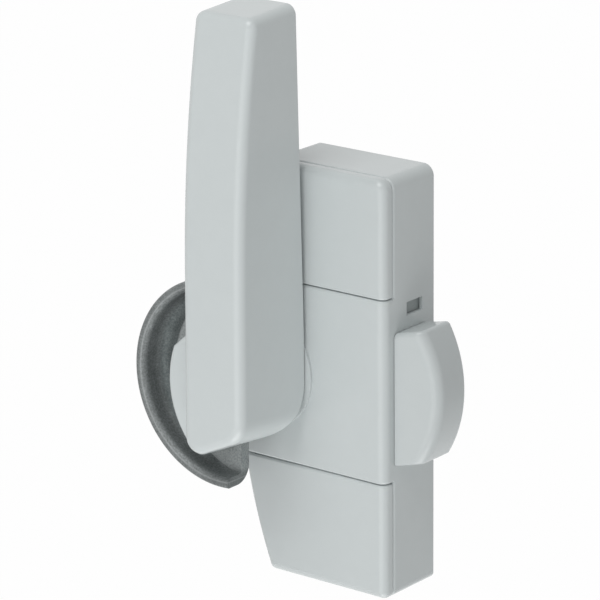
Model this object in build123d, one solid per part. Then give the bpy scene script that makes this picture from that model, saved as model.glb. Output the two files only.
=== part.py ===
from build123d import *
import os
from math import sqrt

# Crescent lock for a sliding window, with a large lever and a side sub-lock.
# Millimetres. X runs to the right towards the sub-lock knob, Y runs into the
# sash, Z runs up. The origin is where the pivot axis meets the mounting plane.
# A "reach" is a distance in front of the case's front face.

# Case
case_height = 92.0
case_depth = 17.3
case_right = 32.1
case_waist_left = 7.9
case_bow_radius = 125.0
case_corner_radius = 2.5
case_foot_radius = 1.4
case_wall = 2.2
front_wall = 2.4
partition = 1.4
hub_case_radius = 14.4
case_edge_radius = 2.0
pad_radius = 13.1
pad_height = 0.6
seam_height = 20.2
seam_gap = 0.15

# Covers over the fixing screws
cover_side = 3.2
cover_wall = 1.8
cover_edge_radius = 1.8
seam_edge_radius = 0.6
seam_back_radius = 0.4
hook_width = 6.0
hook_depth = 5.5
hook_thickness = 1.2
hook_left = 4.0
hook_spread = 16.0
barb_depth = 0.6
barb_length = 1.5
fit_gap = 0.1

# Back plate and its fixings
plate_thickness = 1.6
plate_lip = 1.3
slot_spacing = 66.0
slot_width = 5.2
slot_length = 9.0
slot_x = 15.0
plate_screw_radius = 1.1
plate_screw_length = 7.0
plate_screw_head = 2.1
plate_screw_left = 3.0
plate_screw_spread = 21.0
screw_boss_radius = 2.5

# Pivot
shaft_radius = 4.95
journal_clearance = 0.05
shaft_flat = 3.6
bush_wall = 2.0
bush_inside = 4.0
washer_radius = 9.0
washer_thickness = 0.3
running_gap = 0.1
spring_washer_thickness = 0.6
spring_washer_lap = 0.5
disc_thickness = 2.5
disc_radius = 9.6
disc_flat = 8.0
disc_notch_width = 4.4
disc_notch_floor = 6.2
ring_thickness = 0.8
ring_radius = 6.2
ring_groove_radius = 3.9
shaft_tail = 0.6

# Crescent cam
cam_radius = 22.9
cam_front = 15.3
cam_back = 8.0
cam_rim = 2.2
cam_floor = 1.4
cam_back_round = 4.0
cam_inner_round = 2.4
cam_cut_x = 2.1
cam_hub_radius = 9.5
step_front = 10.6
step_centre_x = 5.6
step_radius = 21.7
step_chamfer = 0.5
rim_outer_round = 0.5
rim_inner_round = 1.6

# Handle
lever_left = 4.0
lever_right = 11.7
lever_top = 80.2
lever_top_rise = 0.8
lever_back = 1.0
lever_back_top = 2.7
lever_front = 22.0
lever_front_foot = 22.7
lever_bend_height = 27.0
lever_front_top = 16.6
lever_edge_radius = 2.0
lever_corner_radius = 2.3
lever_heel_radius = 8.0
lever_toe_radius = 3.4
lever_foot_radius = 6.0
foot_height = 8.3
foot_rise = 0.455
foot_draft = 0.109
base_front = 18.3
base_arc_radius = 20.65
base_left = 11.45
base_shoulder = 7.5
base_shoulder_top = 12.9
base_edge_radius = 1.2
base_corner_radius = 2.5
handle_gap = 0.3
grip_seat_gap = 0.2
arm_left = 3.4
arm_right = 8.4
arm_front = 16.0
arm_top = 68.0
arm_hub_radius = 7.5

# Sub-lock
knob_top = 13.9
knob_height = 29.3
knob_end = 6.2
knob_arc_radius = 28.0
knob_near = 3.3
knob_width = 11.5
knob_rise = 1.3
knob_lean = 1.2
knob_edge_radius = 1.0
knob_front_radius = 2.4
knob_gap = 0.15
lock_travel = 3.2
stem_width = 4.4
stem_height = 10.0
stem_gap = 0.15
slide_thickness = 2.2
slide_width = 8.0
slide_wall_gap = 1.1
slide_top = 13.0
slide_foot = 16.4
slide_arm = 3.2
slide_end = 2.2
nose_width = 4.0
nose_gap = 0.6
flag_lap = 2.5
flag_gap = 0.3
window_height = 2.9
window_length = 5.5
window_sill = 15.5
window_near = 7.8
window_wall = 0.8
window_gap = 0.2
knob_screw_radius = 1.3
knob_screw_head = 2.3
knob_screw_head_height = 1.4
knob_screw_length = 8.0

# Springs inside the case
leaf_thickness = 0.4
leaf_width = 2.3
click_reach = 7.4
click_bend = 1.6
post_size = 1.8
detent_height = 10.0
detent_depth = 0.5
detent_half = 3.6
detent_tail = 7.0
detent_stand = 2.2

# Places that follow from the sizes above
front_y = -case_depth
inner_right = case_right - case_wall
half_height = case_height / 2
chamber_half = seam_height - partition
bore_radius = shaft_radius + journal_clearance
base_arc_x = base_arc_radius - base_left
hub_back = pad_height + washer_thickness + running_gap
bush_radius = bore_radius + bush_wall
bush_back_y = front_y + front_wall + bush_inside
spring_washer_y = bush_back_y + running_gap
disc_y = spring_washer_y + spring_washer_thickness
ring_y = disc_y + disc_thickness
knob_mid_z = knob_top - knob_height / 2
knob_mid_y = front_y + knob_near + knob_width / 2
slide_right = inner_right - slide_wall_gap
slide_left = slide_right - slide_thickness
slot_z = slot_spacing / 2
plate_screw_columns = (plate_screw_left, plate_screw_left + plate_screw_spread)
hook_columns = (hook_left, hook_left + hook_spread)
hook_z = half_height - case_wall - fit_gap - hook_thickness
hook_end_y = front_y + cover_side + hook_depth


def reach(distance):
    """The Y place at a distance in front of the case."""
    return front_y - distance


def prism(sketch, y_near, y_far):
    """A sketch drawn in X and Z, given a thickness between two Y places."""
    plane = Plane((0, y_far, 0), x_dir=(1, 0, 0), z_dir=(0, -1, 0))
    return extrude(plane * sketch, amount=y_far - y_near)


def cylinder_y(radius, y_near, y_far, x=0.0, z=0.0):
    return prism(Pos(x, z) * Circle(radius), y_near, y_far)


def box_between(low, high):
    size = [b - a for a, b in zip(low, high)]
    middle = [(a + b) / 2 for a, b in zip(low, high)]
    return Pos(*middle) * Box(*size)


def front_edges(solid):
    return solid.faces().sort_by(Axis.Y)[0].edges()


def bow_x(z):
    """Left edge of the case, which bows out towards mid height."""
    return -case_waist_left + case_bow_radius - sqrt(case_bow_radius**2 - z**2)


def case_outline():
    end_x = bow_x(half_height)
    border = [
        ThreePointArc((end_x, -half_height), (-case_waist_left, 0), (end_x, half_height)),
        Line((end_x, half_height), (case_right, half_height)),
        Line((case_right, half_height), (case_right, -half_height)),
        Line((case_right, -half_height), (end_x, -half_height)),
    ]
    outline = make_face(border)
    corners = outline.vertices().sort_by(Axis.Y)
    outline = fillet(corners[2:], case_corner_radius)
    outline = fillet(outline.vertices().sort_by(Axis.Y)[:2], case_foot_radius)
    return outline + Circle(hub_case_radius)


def band(z_low, z_high):
    """A wide strip between two heights, to cut outlines into zones."""
    return Pos(0, (z_low + z_high) / 2) * Rectangle(4 * case_height, z_high - z_low)


def screw_places():
    z = chamber_half + screw_boss_radius - partition
    return [(x, side * z) for x in plate_screw_columns for side in (-1, 1)]


def double_d(radius, flat):
    return Circle(radius) & Rectangle(2 * flat, 4 * radius)


def middle_front():
    """The part of the case front between the covers, down to the covers' side seam."""
    block = prism(case_outline() & band(-seam_height, seam_height), front_y, front_y + cover_side)
    sides = [e for e in front_edges(block) if abs(e.center().Z) < seam_height - case_edge_radius]
    block = fillet(sides, case_edge_radius)
    seams = [e for e in front_edges(block) if abs(e.center().Z) > seam_height - case_edge_radius]
    return fillet(seams, seam_edge_radius)


def make_housing():
    outline = case_outline()
    shell = prism(outline & band(-seam_height, seam_height), front_y + cover_side, 0)
    shell += middle_front()
    for side in (-1, 1):
        low, high = sorted((side * seam_height, side * case_height))
        end = prism(outline & band(low, high), front_y + cover_side, 0)
        rim = [e for e in front_edges(end) if abs(e.center().Z) > seam_height + seam_edge_radius]
        shell += fillet(rim, seam_edge_radius)
    shell += cylinder_y(pad_radius, reach(pad_height), front_y)
    inside = offset(outline, -case_wall)
    shell -= prism(inside & band(-chamber_half, chamber_half), front_y + front_wall, 0)
    for side in (-1, 1):
        low, high = sorted((side * seam_height, side * case_height))
        shell -= prism(inside & band(low, high), front_y, 0)
    shell -= prism(offset(outline, -plate_lip + fit_gap), -plate_thickness, plate_thickness)
    shell += cylinder_y(bush_radius + case_wall, front_y, bush_back_y)
    shell -= cylinder_y(bush_radius, front_y - 2 * pad_height, 0)
    for x, z in screw_places():
        shell += cylinder_y(screw_boss_radius, front_y + cover_side, -plate_thickness, x, z)
    for x, z in screw_places():
        shell -= cylinder_y(plate_screw_radius, -plate_screw_length - plate_thickness, 0, x, z)
    for side in (-1, 1):
        for x in hook_columns:
            shell -= hook_barb(x, side, fit_gap)
    for post in click_posts() + detent_posts():
        shell += post
    shell -= window_cut()
    slot_low = knob_mid_z - stem_height / 2 - stem_gap
    slot_high = knob_mid_z + stem_height / 2 + lock_travel + stem_gap
    slot_half = stem_width / 2 + stem_gap
    shell -= box_between(
        (inner_right - case_wall, knob_mid_y - slot_half, slot_low),
        (case_right + case_wall, knob_mid_y + slot_half, slot_high),
    )
    low, high = flag_corners(window_gap)
    return shell - box_between(low, (high[0], high[1], high[2] + lock_travel))


def window_cut():
    near = front_y + window_near
    return box_between(
        (inner_right - case_wall, near, window_sill),
        (case_right + case_wall, near + window_length, window_sill + window_height),
    )


def make_cover(side):
    outline = case_outline()
    low, high = sorted((side * (seam_height + seam_gap), side * case_height))
    zone = outline & band(low, high)
    cover = prism(zone, front_y, front_y + cover_side - seam_gap)
    seam_z = seam_height + seam_gap
    outer = [e for e in front_edges(cover) if abs(e.center().Z) > seam_z + seam_gap]
    cover = fillet(outer, cover_edge_radius)
    back = [e for e in cover.faces().sort_by(Axis.Y)[-1].edges() if abs(e.center().Z) > seam_z + seam_gap]
    cover = fillet(back, seam_back_radius)
    seam = [e for e in front_edges(cover) if abs(e.center().Z) < seam_z + seam_gap]
    cover = fillet(seam, seam_edge_radius)
    hollow = offset(outline, -case_wall) & band(*sorted((side * (seam_z + cover_wall), side * case_height)))
    cover -= prism(hollow, front_y + cover_wall, 0)
    for x in hook_columns:
        low, high = sorted((side * hook_z, side * (hook_z + hook_thickness)))
        cover += box_between(
            (x, front_y + cover_wall / 2, low),
            (x + hook_width, hook_end_y, high),
        )
        cover += hook_barb(x, side)
    return cover


def hook_barb(x, side, gap=0.0):
    """The lip of a snap hook, which springs into a recess in the case's end wall."""
    low, high = sorted((side * hook_z, side * (hook_z + hook_thickness + barb_depth + gap)))
    return box_between(
        (x - gap, hook_end_y - barb_length - gap, low),
        (x + hook_width + gap, hook_end_y + gap, high),
    )


def make_back_plate():
    plate = prism(offset(case_outline(), -plate_lip), -plate_thickness, 0)
    slot = SlotOverall(slot_length, slot_width, rotation=90)
    for side in (-1, 1):
        plate -= prism(Pos(slot_x, side * slot_z) * slot, -2 * plate_thickness, plate_thickness)
    for x, z in screw_places():
        plate -= cylinder_y(plate_screw_radius + fit_gap, -2 * plate_thickness, plate_thickness, x, z)
        plate -= screw_cone(x, z, fit_gap)
    return plate


def screw_cone(x, z, gap=0.0):
    """Countersunk head, flush with the mounting plane."""
    depth = plate_screw_head - plate_screw_radius
    turn = Pos(x, 0, z) * Rot(90, 0, 0)
    cone = Cone(plate_screw_head + gap, plate_screw_radius + gap, depth,
                align=(Align.CENTER, Align.CENTER, Align.MIN))
    return turn * cone


def make_plate_screws():
    screws = []
    for x, z in screw_places():
        shank = cylinder_y(plate_screw_radius, -plate_screw_length, -plate_screw_radius / 2, x, z)
        screws.append(screw_cone(x, z) + shank)
    return Compound(children=screws)


def make_bush():
    bush = cylinder_y(bush_radius, reach(pad_height), bush_back_y)
    return bush - cylinder_y(bore_radius, reach(2 * pad_height), 0)


def make_thrust_washer():
    ring = Circle(washer_radius) - Circle(bore_radius)
    return prism(ring, reach(pad_height + washer_thickness), reach(pad_height))


def make_shaft():
    key = double_d(shaft_radius, shaft_flat)
    journal = cylinder_y(shaft_radius, reach(hub_back), disc_y)
    head = prism(key, reach(arm_front), reach(hub_back))
    tail = prism(key, disc_y, ring_y + ring_thickness + shaft_tail)
    groove = prism(Circle(2 * shaft_radius) - Circle(ring_groove_radius), ring_y, ring_y + ring_thickness)
    return journal + head + tail - groove


def make_spring_washer():
    ring = Circle(bush_radius + spring_washer_lap) - Circle(bore_radius)
    return prism(ring, spring_washer_y, disc_y)


def make_index_disc():
    disc = double_d(disc_radius, disc_flat)
    notch_height = disc_radius
    for side in (-1, 1):
        notch = Rectangle(disc_notch_width, notch_height)
        disc -= Pos(0, side * (disc_notch_floor + notch_height / 2)) * notch
    disc -= double_d(shaft_radius, shaft_flat)
    return prism(disc, disc_y, ring_y)


def make_ring():
    ring = Circle(ring_radius) - Circle(ring_groove_radius)
    opening = Pos(0, -ring_radius) * Rectangle(ring_groove_radius, 2 * ring_radius)
    return prism(ring - opening, ring_y, ring_y + ring_thickness)


def cam_section():
    """Half section of the dish, drawn with radius along X and Y along Y."""
    inner = cam_radius - cam_rim
    floor = cam_back + cam_floor
    bend = sqrt(0.5)
    outer_arc = ThreePointArc(
        (cam_radius, reach(cam_back + cam_back_round)),
        (cam_radius - cam_back_round * (1 - bend), reach(cam_back + cam_back_round * (1 - bend))),
        (cam_radius - cam_back_round, reach(cam_back)),
    )
    inner_arc = ThreePointArc(
        (inner - cam_inner_round, reach(floor)),
        (inner - cam_inner_round * (1 - bend), reach(floor + cam_inner_round * (1 - bend))),
        (inner, reach(floor + cam_inner_round)),
    )
    inner_lip = ThreePointArc(
        (inner, reach(cam_front - rim_inner_round)),
        (inner + rim_inner_round * (1 - bend), reach(cam_front - rim_inner_round * (1 - bend))),
        (inner + rim_inner_round, reach(cam_front)),
    )
    outer_lip = ThreePointArc(
        (cam_radius - rim_outer_round, reach(cam_front)),
        (cam_radius - rim_outer_round * (1 - bend), reach(cam_front - rim_outer_round * (1 - bend))),
        (cam_radius, reach(cam_front - rim_outer_round)),
    )
    border = [
        Line((0, reach(floor)), inner_arc @ 0),
        inner_arc,
        Line(inner_arc @ 1, inner_lip @ 0),
        inner_lip,
        Line(inner_lip @ 1, outer_lip @ 0),
        outer_lip,
        Line(outer_lip @ 1, outer_arc @ 0),
        outer_arc,
        Line(outer_arc @ 1, (0, reach(cam_back))),
        Line((0, reach(cam_back)), (0, reach(floor))),
    ]
    return make_face(border)


def make_cam():
    dish = revolve(cam_section(), Axis.Y)
    step = cylinder_y(step_radius, reach(step_front), reach(cam_back), step_centre_x)
    step = chamfer(front_edges(step), step_chamfer)
    room = cylinder_y(cam_radius - cam_rim + fit_gap, reach(step_front), reach(cam_back + cam_floor / 2))
    dish += step & room
    keep = box_between(
        (-2 * cam_radius, reach(2 * cam_front), -2 * cam_radius),
        (cam_cut_x, front_y, 2 * cam_radius),
    )
    cam = dish & keep
    cam += cylinder_y(cam_hub_radius, reach(step_front), reach(hub_back))
    return cam - prism(double_d(shaft_radius, shaft_flat), reach(2 * cam_front), 0)


def foot_cutter():
    """Everything below the handle's foot, which rises to the right and drops to the back."""
    along = Vector(1, 0, foot_rise)
    back = Vector(0, 1, -foot_draft)
    start = (lever_right, reach(lever_front_foot), -foot_height)
    size = 3 * lever_top
    plane = Plane(start, x_dir=along, z_dir=along.cross(back))
    return plane * Pos(0, 0, -size / 2) * Box(size, size, size)


def lever_blank():
    """The lever's side outline, through its whole width."""
    deep = -3 * foot_height
    rise = lever_top - lever_bend_height
    lean = (lever_front_foot - lever_front) / (lever_bend_height - deep)
    drop = lever_front - lever_front_top
    halfway = rise / 2
    curve_drop = drop - lean * rise
    mid = (reach(lever_front - lean * halfway - curve_drop / 4), lever_bend_height + halfway)
    border = [
        Line((reach(lever_back), deep), (reach(lever_back), cam_hub_radius)),
        Line((reach(lever_back), cam_hub_radius), (reach(lever_back_top), lever_top + lever_top_rise)),
        Line((reach(lever_back_top), lever_top + lever_top_rise), (reach(lever_front_top), lever_top)),
        ThreePointArc((reach(lever_front_top), lever_top), mid, (reach(lever_front), lever_bend_height)),
        Line((reach(lever_front), lever_bend_height), (reach(lever_front_foot), deep)),
        Line((reach(lever_front_foot), deep), (reach(lever_back), deep)),
    ]
    side = Plane.YZ.offset(-lever_left) * make_face(border)
    return extrude(side, amount=lever_left + lever_right)


def near(edge, x=None, y=None, z=None, slack=0.6):
    """Whether an edge's middle lies at the places that are given."""
    middle = edge.center()
    checks = ((x, middle.X), (y, middle.Y), (z, middle.Z))
    return all(want is None or abs(want - have) < slack for want, have in checks)


def foot_shape():
    """The lever seen from the front, with its two rounded lower corners, run back along the foot."""
    toe_z = -foot_height - foot_rise * (lever_left + lever_right)
    corners = [
        (-lever_left, 2 * lever_top),
        (lever_right, 2 * lever_top),
        (lever_right, -foot_height),
        (-lever_left, toe_z),
    ]
    plane = Plane((0, reach(lever_front_foot), 0), x_dir=(1, 0, 0), z_dir=(0, -1, 0))
    front = make_face(Polyline(*corners, close=True))
    front = fillet(front.vertices().sort_by(Axis.Y)[0], lever_toe_radius)
    front = fillet(front.vertices().sort_by_distance((lever_right, -foot_height))[0], lever_foot_radius)
    return extrude(plane * front, amount=2 * lever_front, dir=(0, 1, -foot_draft))


def make_lever():
    lever = lever_blank() - foot_cutter()
    mid_x = (lever_right - lever_left) / 2
    heel = [e for e in lever.edges() if near(e, x=mid_x, y=reach(lever_back)) and e.center().Z < 0]
    lever = fillet(heel, lever_heel_radius)
    top_z = lever_top + lever_top_rise / 2
    corners = [e for e in lever.edges() if near(e, z=top_z) and not near(e, x=mid_x)]
    lever = fillet(corners, lever_corner_radius) & foot_shape()
    face = lever.faces().filter_by(lambda f: f.center().Y < reach(lever_front_top))
    return fillet([e for f in face for e in f.edges()], lever_edge_radius)


def base_outline():
    shoulder_x = base_arc_x - sqrt(base_arc_radius**2 - base_shoulder**2)
    deep = -2 * base_arc_radius
    inside = lever_right - lever_foot_radius
    wall = [
        (inside, base_shoulder_top),
        (-lever_left, base_shoulder_top),
        (shoulder_x, base_shoulder),
        (shoulder_x - base_arc_radius, base_shoulder),
        (shoulder_x - base_arc_radius, deep),
        (inside, deep),
    ]
    return make_face(Polyline(*wall, close=True)) & Pos(base_arc_x, 0) * Circle(base_arc_radius)


def make_grip():
    base = prism(base_outline(), reach(base_front), reach(step_front + grip_seat_gap)) - foot_cutter()
    across = [e for e in base.edges() if e.center().X < 0 and near(e, y=reach((base_front + step_front) / 2))]
    base = fillet(ShapeList(across).sort_by(Axis.Z)[0], base_corner_radius)
    base = fillet(front_edges(base), base_edge_radius)
    clear_radius = cam_radius + handle_gap
    clear_x = cam_cut_x + handle_gap
    room = cylinder_y(clear_radius, reach(cam_front + handle_gap), 0)
    room &= box_between(
        (-2 * clear_radius, reach(2 * cam_front), -2 * clear_radius),
        (clear_x, 0, 2 * clear_radius),
    )
    grip = make_lever() - room + base
    grip -= cylinder_y(cam_hub_radius + handle_gap, reach(step_front + grip_seat_gap), 0)
    return grip - make_arm() - prism(double_d(shaft_radius, shaft_flat), reach(arm_front), 0)


def make_arm():
    hub = cylinder_y(arm_hub_radius, reach(arm_front), reach(step_front))
    bar = box_between(
        (arm_left, reach(arm_front), 0),
        (arm_right, reach(step_front + grip_seat_gap), arm_top),
    )
    return hub + bar - prism(double_d(shaft_radius, shaft_flat), reach(2 * arm_front), 0)


def knob_outline():
    """A D whose two ends rise a little on their way out from the case."""
    inner = case_right + knob_gap
    end_x = case_right + knob_end
    low_z = knob_top - knob_height
    bulge = knob_arc_radius - sqrt(knob_arc_radius**2 - (knob_height / 2) ** 2)
    border = [
        Line((inner, low_z - knob_rise), (inner, knob_top - knob_rise)),
        Line((inner, knob_top - knob_rise), (end_x, knob_top)),
        ThreePointArc((end_x, knob_top), (end_x + bulge, knob_mid_z), (end_x, low_z)),
        Line((end_x, low_z), (inner, low_z - knob_rise)),
    ]
    return make_face(border)


def make_knob():
    near_y = front_y + knob_near
    knob = prism(knob_outline(), near_y, near_y + knob_width)
    lean_x = case_right + 2 * knob_end
    lean = Polyline((case_right, near_y), (lean_x, near_y), (lean_x, near_y + 2 * knob_lean), close=True)
    knob -= Pos(0, 0, knob_mid_z) * extrude(make_face(lean), amount=knob_height, both=True)
    knob = fillet(front_edges(knob).sort_by(Axis.X)[-1], knob_front_radius)
    ends = [e for f in knob.faces().filter_by(lambda f: near(f, x=case_right + knob_end / 2, y=knob_mid_y))
            for e in f.edges() if e.center().X > case_right + 2 * knob_gap]
    back = knob.faces().sort_by(Axis.Y)[-1].edges().sort_by(Axis.X)[-1]
    knob = fillet(ends + [back], knob_edge_radius)
    knob += box_between(
        (slide_right, knob_mid_y - stem_width / 2, knob_mid_z - stem_height / 2),
        (case_right + knob_end / 2, knob_mid_y + stem_width / 2, knob_mid_z + stem_height / 2),
    )
    return knob - knob_screw_shank()


def knob_screw_shank():
    start = Plane((slide_left, knob_mid_y, knob_mid_z), z_dir=(1, 0, 0))
    return extrude(start * Circle(knob_screw_radius), amount=knob_screw_length)


def make_knob_screw():
    start = Plane((slide_left, knob_mid_y, knob_mid_z), z_dir=(-1, 0, 0))
    head = extrude(start * Circle(knob_screw_head), amount=knob_screw_head_height)
    return knob_screw_shank() + head


def make_slide():
    arm_y = (disc_y + fit_gap, ring_y - fit_gap)
    arm_top_z = -slide_foot + slide_arm
    bar = box_between(
        (slide_left, knob_mid_y - slide_width / 2, -slide_foot),
        (slide_right, knob_mid_y + slide_width / 2, slide_top),
    )
    for z in (detent_height, detent_height - lock_travel):
        plane = Plane((slide_left, knob_mid_y - slide_width, z), z_dir=(0, 1, 0))
        bar -= extrude(plane * Circle(detent_depth + fit_gap), amount=2 * slide_width)
    arm = box_between((-slide_end, arm_y[0], -slide_foot), (slide_left, arm_y[1], arm_top_z))
    nose = box_between(
        (-nose_width / 2, arm_y[0], arm_top_z),
        (nose_width / 2, arm_y[1], -disc_radius - nose_gap),
    )
    return bar + arm + nose - knob_screw_shank()


def flag_corners(gap=0.0):
    """The flag's lowest and highest corners: it fills the window at both ends of its travel."""
    near_y = front_y + window_near - flag_gap
    far_y = near_y + window_length + 2 * flag_gap
    low = (slide_right - gap, near_y - gap, slide_top - flag_lap - gap)
    top = window_sill + window_height + flag_gap
    return low, (case_right - window_wall - window_gap + gap, far_y + gap, top + gap)


def make_flag():
    return box_between(*flag_corners())


def strip(points, y_low):
    """A leaf spring: a line of points in X and Z, given its thickness and width."""
    path = Polyline(*points)
    leaf = trace(path, line_width=leaf_thickness)
    return prism(leaf, y_low, y_low + leaf_width)


def make_click_spring():
    x = disc_flat + running_gap + leaf_thickness / 2
    reach_z = click_reach
    tip_z = click_reach + click_bend
    points = [(x + click_bend, -tip_z), (x, -reach_z), (x, reach_z), (x + click_bend, tip_z)]
    return strip(points, disc_y + fit_gap)


def click_posts():
    x = disc_flat + running_gap + leaf_thickness + click_bend
    posts = []
    for side in (-1, 1):
        low, high = sorted((side * click_reach, side * (click_reach + post_size)))
        posts.append(box_between((x, front_y + front_wall / 2, low), (x + post_size, ring_y, high)))
    return posts


def detent_x():
    return slide_left - detent_stand


def make_detent_spring():
    x = detent_x()
    tip_x = slide_left + detent_depth - leaf_thickness
    points = [
        (x, detent_height - detent_half - detent_tail),
        (x, detent_height - detent_half),
        (tip_x, detent_height),
        (x, detent_height + detent_half),
        (x, detent_height + detent_half + post_size),
    ]
    return strip(points, knob_mid_y - leaf_width / 2)


def detent_posts():
    x = detent_x() - leaf_thickness / 2
    z = detent_height - detent_half - detent_tail
    y_top = knob_mid_y + leaf_width / 2
    posts = []
    for low in (z, detent_height + detent_half):
        posts.append(box_between(
            (x - post_size, front_y + front_wall / 2, low),
            (x, y_top, low + post_size),
        ))
    return posts


parts = {
    "housing": make_housing(),
    "top_cover": make_cover(1),
    "bottom_cover": make_cover(-1),
    "back_plate": make_back_plate(),
    "plate_screws": make_plate_screws(),
    "pivot_bush": make_bush(),
    "thrust_washer": make_thrust_washer(),
    "click_spring": make_click_spring(),
    "detent_spring": make_detent_spring(),
    "handle_grip": make_grip(),
    "handle_arm": make_arm(),
    "crescent_cam": make_cam(),
    "pivot_shaft": make_shaft(),
    "spring_washer": make_spring_washer(),
    "index_disc": make_index_disc(),
    "retaining_ring": make_ring(),
    "lock_knob": make_knob(),
    "lock_slide": make_slide(),
    "indicator_flag": make_flag(),
    "knob_screw": make_knob_screw(),
}

os.makedirs("parts", exist_ok=True)
for name, solid in parts.items():
    export_step(solid, f"parts/{name}.step")
    print(name, round(solid.volume, 1))
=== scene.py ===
import bpy
import bmesh
from math import sin, cos, radians, pi
from mathutils import Matrix, Vector


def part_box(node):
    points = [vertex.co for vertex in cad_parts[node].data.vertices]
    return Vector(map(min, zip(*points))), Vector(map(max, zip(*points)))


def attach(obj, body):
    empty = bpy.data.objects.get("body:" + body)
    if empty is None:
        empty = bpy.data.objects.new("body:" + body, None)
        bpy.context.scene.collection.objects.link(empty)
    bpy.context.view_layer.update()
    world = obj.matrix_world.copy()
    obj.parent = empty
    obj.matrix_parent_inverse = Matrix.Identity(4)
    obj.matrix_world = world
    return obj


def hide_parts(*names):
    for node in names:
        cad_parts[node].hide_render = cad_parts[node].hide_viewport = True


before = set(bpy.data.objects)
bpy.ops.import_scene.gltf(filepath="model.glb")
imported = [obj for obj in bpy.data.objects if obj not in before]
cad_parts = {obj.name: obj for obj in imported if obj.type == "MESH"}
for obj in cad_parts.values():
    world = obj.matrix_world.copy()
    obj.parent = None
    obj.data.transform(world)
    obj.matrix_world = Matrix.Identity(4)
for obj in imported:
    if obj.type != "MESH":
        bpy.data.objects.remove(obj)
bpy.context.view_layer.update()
print("frame loaded:", len(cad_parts), "nodes")

mm = 0.001


# shader node helpers

def addNode(tree, kind, x, y, **settings):
    node = tree.nodes.new(kind)
    node.location = (x, y)
    for name, value in settings.items():
        setattr(node, name, value)
    return node


def setInputs(node, values):
    for label, value in values.items():
        node.inputs[label].default_value = value


def startGroup(name, inputs, outputs):
    group = bpy.data.node_groups.new(name, "ShaderNodeTree")
    for label, kind, value in inputs:
        socket = group.interface.new_socket(name=label, in_out="INPUT", socket_type=kind)
        socket.default_value = value
    for label, kind in outputs:
        group.interface.new_socket(name=label, in_out="OUTPUT", socket_type=kind)
    source = addNode(group, "NodeGroupInput", -900, 0)
    sink = addNode(group, "NodeGroupOutput", 700, 0)
    return group, source, sink


# the helpers below link sockets into a new node and give back its output

def joinTwo(tree, operation, first, second, x, y):
    node = addNode(tree, "ShaderNodeMath", x, y, operation=operation)
    tree.links.new(first, node.inputs[0])
    tree.links.new(second, node.inputs[1])
    return node.outputs[0]


def mapValue(tree, value, fromLow, fromHigh, x, y, toLow=0.0, toHigh=1.0):
    node = addNode(tree, "ShaderNodeMapRange", x, y)
    setInputs(node, {"From Min": fromLow, "From Max": fromHigh, "To Min": toLow, "To Max": toHigh})
    tree.links.new(value, node.inputs["Value"])
    return node.outputs["Result"]


def mapBetween(tree, value, fromLow, fromHigh, low, high, x, y):
    node = addNode(tree, "ShaderNodeMapRange", x, y)
    setInputs(node, {"From Min": fromLow, "From Max": fromHigh})
    tree.links.new(value, node.inputs["Value"])
    tree.links.new(low, node.inputs["To Min"])
    tree.links.new(high, node.inputs["To Max"])
    return node.outputs["Result"]


def mixColour(tree, factor, base, over, x, y, blend="MIX"):
    node = addNode(tree, "ShaderNodeMix", x, y, data_type="RGBA", blend_type=blend)
    tree.links.new(factor, node.inputs[0])
    tree.links.new(base, node.inputs[6])
    if isinstance(over, bpy.types.NodeSocket):
        tree.links.new(over, node.inputs[7])
    else:
        node.inputs[7].default_value = (*over, 1)  # a plain colour
    return node.outputs[2]


def addTexture(tree, kind, vector, values, output, x, y):
    node = addNode(tree, kind, x, y)
    tree.links.new(vector, node.inputs["Vector"])
    for label, value in values.items():
        if isinstance(value, bpy.types.NodeSocket):
            tree.links.new(value, node.inputs[label])
        else:
            node.inputs[label].default_value = value
    return node.outputs[output]


# satin paint: fine orange peel, a faint cloudy tone, small specks and slightly uneven gloss

paintLook = {
    "peelDetail": 3.0,
    "peelRoughness": 0.45,
    "cloudScale": 240.0,
    "cloudDetail": 6.0,
    "cloudRoughness": 0.7,
    "cloudSpread": (0.25, 0.75),
    "cloudTone": (0.55, 0.57, 0.58),
    "glossSpread": (0.2, 0.8),
    "speckScale": 420.0,
    "speckEdge": (0.03, 0.08),
    "speckAmount": 0.35,
    "speckTone": (0.4, 0.4, 0.4),
}


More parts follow.
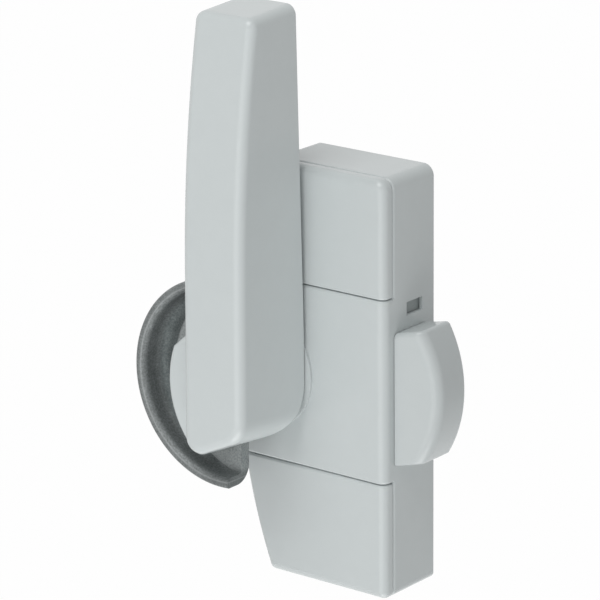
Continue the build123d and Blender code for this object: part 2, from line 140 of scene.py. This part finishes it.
def buildPaintGroup():
    group, source, sink = startGroup(
        "satinPaint",
        [("Vector", "NodeSocketVector", (0, 0, 0)), ("Colour", "NodeSocketColor", (0.6, 0.6, 0.6, 1)),
         ("Peel Scale", "NodeSocketFloat", 900.0), ("Peel Depth", "NodeSocketFloat", 0.2),
         ("Cloud", "NodeSocketFloat", 0.05), ("Gloss Low", "NodeSocketFloat", 0.32),
         ("Gloss High", "NodeSocketFloat", 0.42)],
        [("Colour", "NodeSocketColor"), ("Roughness", "NodeSocketFloat"), ("Height", "NodeSocketFloat")])
    look, given = paintLook, source.outputs
    peelValues = {"Scale": given["Peel Scale"], "Detail": look["peelDetail"],
                  "Roughness": look["peelRoughness"]}
    cloudValues = {"Scale": look["cloudScale"], "Detail": look["cloudDetail"],
                   "Roughness": look["cloudRoughness"]}
    speckValues = {"Scale": look["speckScale"]}
    peel = addTexture(group, "ShaderNodeTexNoise", given["Vector"], peelValues, "Fac", -600, 200)
    cloud = addTexture(group, "ShaderNodeTexNoise", given["Vector"], cloudValues, "Fac", -600, -100)
    specks = addTexture(group, "ShaderNodeTexVoronoi", given["Vector"], speckValues, "Distance", -600, -350)
    dots = mapValue(group, specks, *look["speckEdge"], -380, -350, look["speckAmount"], 0.0)
    tone = mapValue(group, cloud, *look["cloudSpread"], -380, -100)
    toneShare = joinTwo(group, "MULTIPLY", tone, given["Cloud"], -160, -60)
    dotShare = joinTwo(group, "MULTIPLY", dots, given["Cloud"], 60, -260)
    clouded = mixColour(group, toneShare, given["Colour"], look["cloudTone"], 60, 80, "MULTIPLY")
    dotted = mixColour(group, dotShare, clouded, look["speckTone"], 280, 80, "MULTIPLY")
    gloss = mapBetween(group, cloud, *look["glossSpread"], given["Gloss Low"], given["Gloss High"], 60, -100)
    height = joinTwo(group, "MULTIPLY", peel, given["Peel Depth"], 60, 320)
    group.links.new(dotted, sink.inputs["Colour"])
    group.links.new(gloss, sink.inputs["Roughness"])
    group.links.new(height, sink.inputs["Height"])
    return group


# bare metal: a fine grain over broader patches, which a material stretches for rolled or turned steel

metalLook = {
    "grainDetail": 5.0,
    "grainRoughness": 0.65,
    "patchDetail": 3.0,
    "spread": (0.355, 0.645),  # the mixed noise runs from dark to light between these
}


def buildMetalGroup():
    group, source, sink = startGroup(
        "bareMetal",
        [("Vector", "NodeSocketVector", (0, 0, 0)), ("Dark", "NodeSocketColor", (0.2, 0.2, 0.2, 1)),
         ("Light", "NodeSocketColor", (0.5, 0.5, 0.5, 1)), ("Grain Scale", "NodeSocketFloat", 700.0),
         ("Patch Scale", "NodeSocketFloat", 120.0), ("Grain Share", "NodeSocketFloat", 0.355),
         ("Grain Depth", "NodeSocketFloat", 0.3),
         ("Rough Low", "NodeSocketFloat", 0.35), ("Rough High", "NodeSocketFloat", 0.6)],
        [("Colour", "NodeSocketColor"), ("Roughness", "NodeSocketFloat"), ("Height", "NodeSocketFloat")])
    look, given = metalLook, source.outputs
    grainValues = {"Scale": given["Grain Scale"], "Detail": look["grainDetail"],
                   "Roughness": look["grainRoughness"]}
    patchValues = {"Scale": given["Patch Scale"], "Detail": look["patchDetail"]}
    grain = addTexture(group, "ShaderNodeTexNoise", given["Vector"], grainValues, "Fac", -600, 250)
    patch = addTexture(group, "ShaderNodeTexNoise", given["Vector"], patchValues, "Fac", -600, -50)
    both = addNode(group, "ShaderNodeMix", -380, 80)
    group.links.new(given["Grain Share"], both.inputs[0])
    group.links.new(patch, both.inputs[2])
    group.links.new(grain, both.inputs[3])
    spread = mapValue(group, both.outputs[0], *look["spread"], -160, 80)
    colour = mixColour(group, spread, given["Dark"], given["Light"], 80, 120)
    rough = mapBetween(group, spread, 0.0, 1.0, given["Rough High"], given["Rough Low"], 80, -120)
    height = joinTwo(group, "MULTIPLY", grain, given["Grain Depth"], 80, 340)
    group.links.new(colour, sink.inputs["Colour"])
    group.links.new(rough, sink.inputs["Roughness"])
    group.links.new(height, sink.inputs["Height"])
    return group


paintGroup = buildPaintGroup()
metalGroup = buildMetalGroup()

finishes = {
    "caseColour": (0.553, 0.592, 0.594),
    "handleColour": (0.583, 0.624, 0.626),
    "knobColour": (0.51, 0.546, 0.548),
    "paintGloss": {"Gloss Low": 0.19, "Gloss High": 0.26},
    "paintSpecular": 0.45,
    "castDark": (0.2, 0.218, 0.218),
    "castLight": (0.39, 0.415, 0.415),
    "castMetallic": 0.5,
    "castGrain": {"Grain Scale": 2400.0, "Patch Scale": 300.0, "Grain Share": 0.75, "Grain Depth": 0.5,
                  "Rough Low": 0.5, "Rough High": 0.65},
    "steelDark": (0.36, 0.36, 0.36),
    "steelLight": (0.66, 0.66, 0.65),
    "platedGrain": {"Grain Scale": 900.0, "Patch Scale": 60.0},
    "platedStretch": (1, 1, 0.08),  # the sheet is rolled along the case
    "turnedGrain": {"Grain Scale": 1500.0, "Rough Low": 0.29},
    "turnedStretch": (0.15, 1, 0.15),
    "springDark": (0.24, 0.25, 0.26),
    "springLight": (0.5, 0.5, 0.5),
    "springGrain": {"Grain Scale": 1200.0},
    "springStretch": (1, 0.1, 1),
    "bearingColour": (0.72, 0.7, 0.64),
    "bearingGloss": {"Gloss Low": 0.45, "Gloss High": 0.55},
    "flagColour": (0.32, 0.355, 0.355),
    "flagGloss": {"Gloss Low": 0.4, "Gloss High": 0.5},
    "flagSignal": (0.42, 0.06, 0.035),  # the lower half, shown when the handle is locked
    "flagSplit": 3.35,  # mm below the flag's top
    "flagFade": 0.05,
    "reliefStrength": 0.25,
    "reliefDistance": 0.0001,  # metres
}


def startMaterial(name, groupTree, values, stretch=(1, 1, 1)):
    material = bpy.data.materials.new(name)
    material.use_nodes = True
    tree = material.node_tree
    shader = tree.nodes["Principled BSDF"]
    coords = addNode(tree, "ShaderNodeTexCoord", -1100, 0)
    mapping = addNode(tree, "ShaderNodeMapping", -900, 0)
    mapping.inputs["Scale"].default_value = stretch
    tree.links.new(coords.outputs["Object"], mapping.inputs["Vector"])
    skin = addNode(tree, "ShaderNodeGroup", -650, 0, node_tree=groupTree)
    setInputs(skin, values)
    tree.links.new(mapping.outputs["Vector"], skin.inputs["Vector"])
    bump = addNode(tree, "ShaderNodeBump", -300, -200)
    setInputs(bump, {"Strength": finishes["reliefStrength"], "Distance": finishes["reliefDistance"]})
    tree.links.new(skin.outputs["Height"], bump.inputs["Height"])
    tree.links.new(skin.outputs["Colour"], shader.inputs["Base Color"])
    tree.links.new(skin.outputs["Roughness"], shader.inputs["Roughness"])
    tree.links.new(bump.outputs["Normal"], shader.inputs["Normal"])
    return material, shader


def paintMaterial(name, colour, gloss):
    material, shader = startMaterial(name, paintGroup, {"Colour": (*colour, 1), **gloss})
    shader.inputs["Specular IOR Level"].default_value = finishes["paintSpecular"]
    return material


def metalMaterial(name, kind, grain, stretch=(1, 1, 1), metallic=1.0):
    values = {"Dark": (*finishes[kind + "Dark"], 1), "Light": (*finishes[kind + "Light"], 1), **grain}
    material, shader = startMaterial(name, metalGroup, values, stretch)
    shader.inputs["Metallic"].default_value = metallic
    return material


casePaint = paintMaterial("casePaint", finishes["caseColour"], finishes["paintGloss"])
handlePaint = paintMaterial("handlePaint", finishes["handleColour"], finishes["paintGloss"])
knobPaint = paintMaterial("knobPaint", finishes["knobColour"], finishes["paintGloss"])
castMetal = metalMaterial("castMetal", "cast", finishes["castGrain"], metallic=finishes["castMetallic"])
platedSteel = metalMaterial("platedSteel", "steel", finishes["platedGrain"], finishes["platedStretch"])
turnedSteel = metalMaterial("turnedSteel", "steel", finishes["turnedGrain"], finishes["turnedStretch"])
springSteel = metalMaterial("springSteel", "spring", finishes["springGrain"], finishes["springStretch"])
bearingPlastic = paintMaterial("bearingPlastic", finishes["bearingColour"], finishes["bearingGloss"])


# painted highlights: thin bright lines along the inner lip of the cam's rim and along the step round its hub;
# painted shade darkens the channel between them, and the rim is given a darker tone

camMarks = {
    # colour of the painted highlight lines
    "highlightTone": (0.42, 0.44, 0.44),
    "lipRadius": 21.6,  # mm from the pivot
    "lipWidth": 0.22,
    "lipAmount": 0.36,
    "stepCentreX": 5.6,
    "stepRadius": 21.45,  # mm from the step's own centre
    "stepWidth": 0.35,
    "stepAmount": 0.75,
    "stepEnd": 20.2,  # mm from the pivot, where the step runs out at the rim
    "stepFade": 0.3,
    # a darker tone over the rim band
    "rimRadius": 21.7,
    "rimWidth": 2.1,
    "rimTone": (0.62, 0.62, 0.62),
    # the band of painted shade in the deep channel
    "channelInner": 21.4,  # mm from the step's centre
    "channelOuter": 20.8,  # mm from the pivot
    "channelFade": 0.8,
    "channelShadeTone": (0.4, 0.43, 0.43),
    "coreShare": 0.3,  # of a band's width to each side, the middle at full strength
}


def distanceFrom(tree, coords, centreX, y):
    # from an axis along Y at centreX
    flat = addNode(tree, "ShaderNodeVectorMath", -1100, y, operation="MULTIPLY_ADD")
    flat.inputs[1].default_value = (1, 0, 1)
    flat.inputs[2].default_value = (-centreX * mm, 0, 0)
    tree.links.new(coords.outputs["Object"], flat.inputs[0])
    length = addNode(tree, "ShaderNodeVectorMath", -900, y, operation="LENGTH")
    tree.links.new(flat.outputs["Vector"], length.inputs[0])
    return length.outputs["Value"]


def ringMask(tree, distance, radius, width, amount, y):
    offset = addNode(tree, "ShaderNodeMath", -700, y, operation="SUBTRACT")
    tree.links.new(distance, offset.inputs[0])
    offset.inputs[1].default_value = radius * mm
    size = addNode(tree, "ShaderNodeMath", -500, y, operation="ABSOLUTE")
    tree.links.new(offset.outputs[0], size.inputs[0])
    core = camMarks["coreShare"] * width
    return mapValue(tree, size.outputs[0], core * mm, width * mm, -300, y, amount, 0.0)


def maskBeyond(tree, distance, start, fade, x, y):
    return mapValue(tree, distance, start * mm, (start + fade) * mm, x, y)


def maskWithin(tree, distance, end, fade, x, y):
    return mapValue(tree, distance, (end - fade) * mm, end * mm, x, y, 1.0, 0.0)


def camMaterial():
    material = metalMaterial("camMetal", "cast", finishes["castGrain"], metallic=finishes["castMetallic"])
    tree, marks = material.node_tree, camMarks
    base = tree.nodes["Principled BSDF"].inputs["Base Color"]
    coords = addNode(tree, "ShaderNodeTexCoord", -1300, -600)
    fromPivot = distanceFrom(tree, coords, 0.0, -600)
    fromStep = distanceFrom(tree, coords, marks["stepCentreX"], -850)
    # painted highlights along the lip and along the step, the step's line ending where the step runs out at
    # the rim
    lip = ringMask(tree, fromPivot, marks["lipRadius"], marks["lipWidth"], marks["lipAmount"], -600)
    step = ringMask(tree, fromStep, marks["stepRadius"], marks["stepWidth"], marks["stepAmount"], -850)
    rim = ringMask(tree, fromPivot, marks["rimRadius"], marks["rimWidth"], 1.0, -1100)
    beforeEnd = maskWithin(tree, fromPivot, marks["stepEnd"], marks["stepFade"], -300, -1050)
    shortStep = joinTwo(tree, "MULTIPLY", step, beforeEnd, -200, -900)
    highlightLines = joinTwo(tree, "MAXIMUM", lip, shortStep, -100, -700)
    # painted shade in the deep channel between the step and the rim
    outsideStep = maskBeyond(tree, fromStep, marks["channelInner"], marks["channelFade"], -700, -1400)
    insideRim = maskWithin(tree, fromPivot, marks["channelOuter"], marks["channelFade"], -700, -1600)
    channel = joinTwo(tree, "MULTIPLY", outsideStep, insideRim, -100, -1400)
    darkerRim = mixColour(tree, rim, base.links[0].from_socket, marks["rimTone"], -450, 300, "MULTIPLY")
    shadedChannel = mixColour(tree, channel, darkerRim, marks["channelShadeTone"], -400, 450, "MULTIPLY")
    # the painted highlight lines go over everything else
    highlighted = mixColour(tree, highlightLines, shadedChannel, marks["highlightTone"], -300, 250)
    tree.links.new(highlighted, base)
    return material


camMetal = camMaterial()


# the flag is one moulding with its lower half in a signal colour

def flagMaterial():
    values = {"Colour": (*finishes["flagColour"], 1), **finishes["flagGloss"]}
    material, shader = startMaterial("flagPlastic", paintGroup, values)
    tree, base = material.node_tree, shader.inputs["Base Color"]
    coords = addNode(tree, "ShaderNodeTexCoord", -1100, -500)
    parts = addNode(tree, "ShaderNodeSeparateXYZ", -900, -500)
    tree.links.new(coords.outputs["Object"], parts.inputs[0])
    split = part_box("indicator_flag")[1][2] - finishes["flagSplit"] * mm
    below = mapValue(tree, parts.outputs["Z"], split - finishes["flagFade"] * mm, split, -700, -500, 1.0, 0.0)
    signal = mixColour(tree, below, base.links[0].from_socket, finishes["flagSignal"], -300, 200)
    tree.links.new(signal, base)
    return material


flagPlastic = flagMaterial()

nodeFinish = {
    casePaint: ["housing", "top_cover", "bottom_cover"],
    handlePaint: ["handle_grip"],
    knobPaint: ["lock_knob"],
    camMetal: ["crescent_cam"],
    castMetal: ["handle_arm"],
    platedSteel: ["back_plate", "index_disc"],
    turnedSteel: ["plate_screws", "pivot_shaft", "knob_screw"],
    springSteel: ["click_spring", "detent_spring", "spring_washer", "retaining_ring"],
    bearingPlastic: ["pivot_bush", "thrust_washer", "lock_slide"],
    flagPlastic: ["indicator_flag"],
}
for material, names in nodeFinish.items():
    for name in names:
        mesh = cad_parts[name].data
        mesh.materials.clear()
        mesh.materials.append(material)
print("finishes given to", sum(len(names) for names in nodeFinish.values()), "nodes")


# countersunk tapping screws of the back plate: cross recess, helical thread and a point

screws = {  # lengths in mm
    "headRadius": 2.1,
    "headRim": 0.15,
    "headHeight": 1.0,
    "headSides": 48,
    "crestRadius": 1.1,
    "rootRadius": 0.8,
    "threadFoot": 0.97,  # of the root radius, so that the thread starts inside the shank
    "threadForm": (0.1, 0.42, 0.58, 0.9),  # foot, crest, crest and foot as shares of the pitch
    "pitch": 0.75,
    "stepsPerTurn": 20,
    "pointLength": 1.2,
    "tipRadius": 0.05,
    "recessReach": 1.15,
    "recessWidth": 0.42,
    "recessDepth": 0.75,
    "recessTaper": 0.55,
    "mergeGap": 0.0001,
}


# one round face with a cross sunk into it

def addRecessedFace(shape, radius, values):
    reach = values["recessReach"] * mm
    half = values["recessWidth"] / 2 * mm
    cross = bmesh.ops.create_grid(shape, x_segments=3, y_segments=3, size=reach)["verts"]
    for vert in cross:
        for axis in (0, 1):
            if abs(vert.co[axis]) < reach / 2:
                vert.co[axis] = half if vert.co[axis] > 0 else -half
    corners = [f for f in shape.faces if all(abs(c) > half for c in f.calc_center_median().xy)]
    bmesh.ops.delete(shape, geom=corners, context="FACES")
    inner = [e for e in shape.edges if e.is_boundary]
    rim = bmesh.ops.create_circle(shape, segments=values["headSides"], radius=radius)["verts"]
    outer = [e for e in shape.edges if e.verts[0] in rim and e.verts[1] in rim]
    crossFaces = list(shape.faces)
    bmesh.ops.triangle_fill(shape, use_beauty=True, edges=inner + outer)
    sunk = bmesh.ops.extrude_face_region(shape, geom=crossFaces)
    bottom = [v for v in sunk["geom"] if isinstance(v, bmesh.types.BMVert)]
    bmesh.ops.delete(shape, geom=crossFaces, context="FACES_ONLY")
    bmesh.ops.scale(shape, verts=bottom, vec=(values["recessTaper"], values["recessTaper"], 1))
    bmesh.ops.translate(shape, verts=bottom, vec=(0, 0, -values["recessDepth"] * mm))
    return outer


# runs a ring of edges down to a new radius and gives the new ring

def pullRing(shape, edges, radius, newRadius, drop):
    pulled = bmesh.ops.extrude_edge_only(shape, edges=edges)["geom"]
    verts = [g for g in pulled if isinstance(g, bmesh.types.BMVert)]
    ring = [g for g in pulled if isinstance(g, bmesh.types.BMEdge)]
    factor = newRadius / radius
    bmesh.ops.scale(shape, verts=verts, vec=(factor, factor, 1))
    bmesh.ops.translate(shape, verts=verts, vec=(0, 0, -drop))
    return ring


# one turn's profile, spun down the shank

def addThread(shape, start, shank, values):
    crest, root, pitch = (values[key] * mm for key in ("crestRadius", "rootRadius", "pitch"))
    foot = root * values["threadFoot"]
    profile = [shape.verts.new((radius, 0, start - pitch * share))
               for radius, share in zip((foot, crest, crest, foot), values["threadForm"])]
    edges = [shape.edges.new(pair) for pair in zip(profile, profile[1:])]
    shape.faces.new(profile)
    turns = shank / pitch - values["threadForm"][-1]
    steps = round(turns * values["stepsPerTurn"])
    spun = bmesh.ops.spin(shape, geom=profile + edges, cent=(0, 0, 0), axis=(0, 0, 1), angle=2 * pi * turns,
                          dvec=(0, 0, -pitch * turns / steps), steps=steps)
    lastEdge = [g for g in spun["geom_last"] if isinstance(g, bmesh.types.BMVert)]
    bmesh.ops.contextual_create(shape, geom=lastEdge)


def screwMesh(name, length, values):
    shape = bmesh.new()
    head, root, tip = (values[key] * mm for key in ("headRadius", "rootRadius", "tipRadius"))
    rim, height, point = (values[key] * mm for key in ("headRim", "headHeight", "pointLength"))
    shank = length - height - point
    ring = addRecessedFace(shape, head, values)
    ring = pullRing(shape, ring, head, head, rim)
    ring = pullRing(shape, ring, head, root, height - rim)
    ring = pullRing(shape, ring, root, root, shank)
    ring = pullRing(shape, ring, root, tip, point)
    bmesh.ops.contextual_create(shape, geom=ring)
    addThread(shape, -height, shank, values)
    bmesh.ops.remove_doubles(shape, verts=shape.verts, dist=values["mergeGap"] * mm)
    bmesh.ops.recalc_face_normals(shape, faces=shape.faces)
    mesh = bpy.data.meshes.new(name)
    shape.to_mesh(mesh)
    shape.free()
    return mesh


# copies one screw to each head's place, as one object that stands for the CAD node

def placeScrews(name, node, heads, turn, length, values, material):
    single = screwMesh(name + "Single", length, values)
    shape = bmesh.new()
    for place in heads:
        before = len(shape.verts)
        shape.from_mesh(single)
        shape.verts.ensure_lookup_table()
        bmesh.ops.transform(shape, matrix=Matrix.Translation(place) @ turn, verts=shape.verts[before:])
    mesh = bpy.data.meshes.new(name)
    shape.to_mesh(mesh)
    shape.free()
    bpy.data.meshes.remove(single)
    mesh.materials.append(material)
    piece = bpy.data.objects.new(name, mesh)
    bpy.context.scene.collection.objects.link(piece)
    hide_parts(node)
    return piece


def buildPlateScrews():
    low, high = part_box("plate_screws")
    inset = screws["headRadius"] * mm
    columns = (low[0] + inset, high[0] - inset)
    rows = (low[2] + inset, high[2] - inset)
    heads = [(x, high[1], z) for x in columns for z in rows]
    faceBack = Matrix.Rotation(-pi / 2, 4, "X")
    length = high[1] - low[1]
    piece = placeScrews("plateScrewSet", "plate_screws", heads, faceBack, length, screws, turnedSteel)
    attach(piece, "case")
    print("plate screws:", len(heads))


buildPlateScrews()


# studio: a pale floor, an even white surround and four soft lamps

studio = {  # metres and watts
    "floorHeight": -0.7,
    "floorSize": 6.0,
    "floorColour": (0.8, 0.8, 0.8),
    "floorRoughness": 0.9,
    "floorGlow": 0.985,  # share of plain white where the floor itself is seen
    "ambient": 0.41,
    "aim": (0.01, -0.02, 0.01),
    "lamps": {
        "keyLamp": {"place": (0.07, -0.65, 1.1), "size": 0.8, "power": 7.6},
        "frontLamp": {"place": (0.3, -1.3, -0.25), "size": 1.2, "power": 4.6},
        "fillLamp": {"place": (0.95, -0.7, 0.1), "size": 0.7, "power": 0.3},
        "underLamp": {"place": (0.2, -0.25, -0.6), "size": 0.5, "power": 2.3},
    },
}


# shows one shader to rays that see the surface itself, in a reflection or through glass,
# and the other to the light that falls on the object

def splitByRay(tree, lighting, seen, output, glow=1.0):
    path = addNode(tree, "ShaderNodeLightPath", -600, 300).outputs
    direct = joinTwo(tree, "MAXIMUM", path["Is Camera Ray"], path["Is Glossy Ray"], -400, 300)
    either = joinTwo(tree, "MAXIMUM", direct, path["Is Transmission Ray"], -200, 300)
    share = mapValue(tree, either, 0.0, 1.0, -20, 300, 0.0, glow)
    mix = addNode(tree, "ShaderNodeMixShader", 200, 100)
    tree.links.new(share, mix.inputs[0])
    tree.links.new(lighting.outputs[0], mix.inputs[1])
    tree.links.new(seen.outputs[0], mix.inputs[2])
    tree.links.new(mix.outputs[0], tree.nodes[output].inputs["Surface"])


def buildFloor():
    mesh = bpy.data.meshes.new("studioFloor")
    shape = bmesh.new()
    bmesh.ops.create_grid(shape, x_segments=8, y_segments=8, size=studio["floorSize"] / 2)
    bmesh.ops.translate(shape, verts=shape.verts, vec=(0, 0, studio["floorHeight"]))
    shape.to_mesh(mesh)
    shape.free()
    floor = bpy.data.objects.new("studioFloor", mesh)
    bpy.context.scene.collection.objects.link(floor)
    material = bpy.data.materials.new("paleFloor")
    material.use_nodes = True
    tree = material.node_tree
    shader = tree.nodes["Principled BSDF"]
    setInputs(shader, {"Base Color": (*studio["floorColour"], 1), "Roughness": studio["floorRoughness"]})
    glow = addNode(tree, "ShaderNodeEmission", 0, -200)
    splitByRay(tree, shader, glow, "Material Output", studio["floorGlow"])
    mesh.materials.append(material)


def buildWorld():
    world = bpy.data.worlds.new("studioWorld")
    bpy.context.scene.world = world
    world.use_nodes = True
    tree = world.node_tree
    ambient = tree.nodes["Background"]
    setInputs(ambient, {"Color": (1, 1, 1, 1), "Strength": studio["ambient"]})
    white = addNode(tree, "ShaderNodeBackground", -100, -200)
    setInputs(white, {"Color": (1, 1, 1, 1), "Strength": 1.0})
    splitByRay(tree, ambient, white, "World Output")


def addLamp(name, place, size, power):
    data = bpy.data.lights.new(name, "AREA")
    data.size = size
    data.energy = power
    lamp = bpy.data.objects.new(name, data)
    lamp.location = place
    lamp.rotation_euler = (Vector(studio["aim"]) - Vector(place)).to_track_quat("-Z", "Y").to_euler()
    bpy.context.scene.collection.objects.link(lamp)


view = {
    "azimuth": 38.379,  # degrees from the front, towards the knob
    "elevation": 17.304,
    "roll": -0.558,
    "distance": 819.3,  # mm
    "target": (2.61, -8.0, 13.04),
    "focalPixels": 3839.4,
    "pictureWidth": 600,
    "sensorWidth": 36.0,
    "clipEnd": 20,  # metres
}


def buildCamera():
    azimuth, elevation, roll = (radians(view[name]) for name in ("azimuth", "elevation", "roll"))
    away = Vector((sin(azimuth) * cos(elevation), -cos(azimuth) * cos(elevation), sin(elevation)))
    right = (-away).cross(Vector((0, 0, 1))).normalized()
    up = right.cross(-away)
    tiltedRight = right * cos(roll) + up * sin(roll)
    tiltedUp = up * cos(roll) - right * sin(roll)
    data = bpy.data.cameras.new("photoCamera")
    data.sensor_fit = "HORIZONTAL"
    data.sensor_width = view["sensorWidth"]
    data.lens = view["focalPixels"] * view["sensorWidth"] / view["pictureWidth"]
    data.clip_end = view["clipEnd"]
    camera = bpy.data.objects.new("photoCamera", data)
    bpy.context.scene.collection.objects.link(camera)
    turn = Matrix((tiltedRight, tiltedUp, away)).transposed().to_4x4()
    place = (Vector(view["target"]) + away * view["distance"]) * mm
    camera.matrix_world = Matrix.Translation(place) @ turn
    bpy.context.scene.camera = camera


buildFloor()
buildWorld()
for name, lamp in studio["lamps"].items():
    addLamp(name, **lamp)
buildCamera()
bpy.context.scene.view_settings.view_transform = "Standard"
print("studio ready")
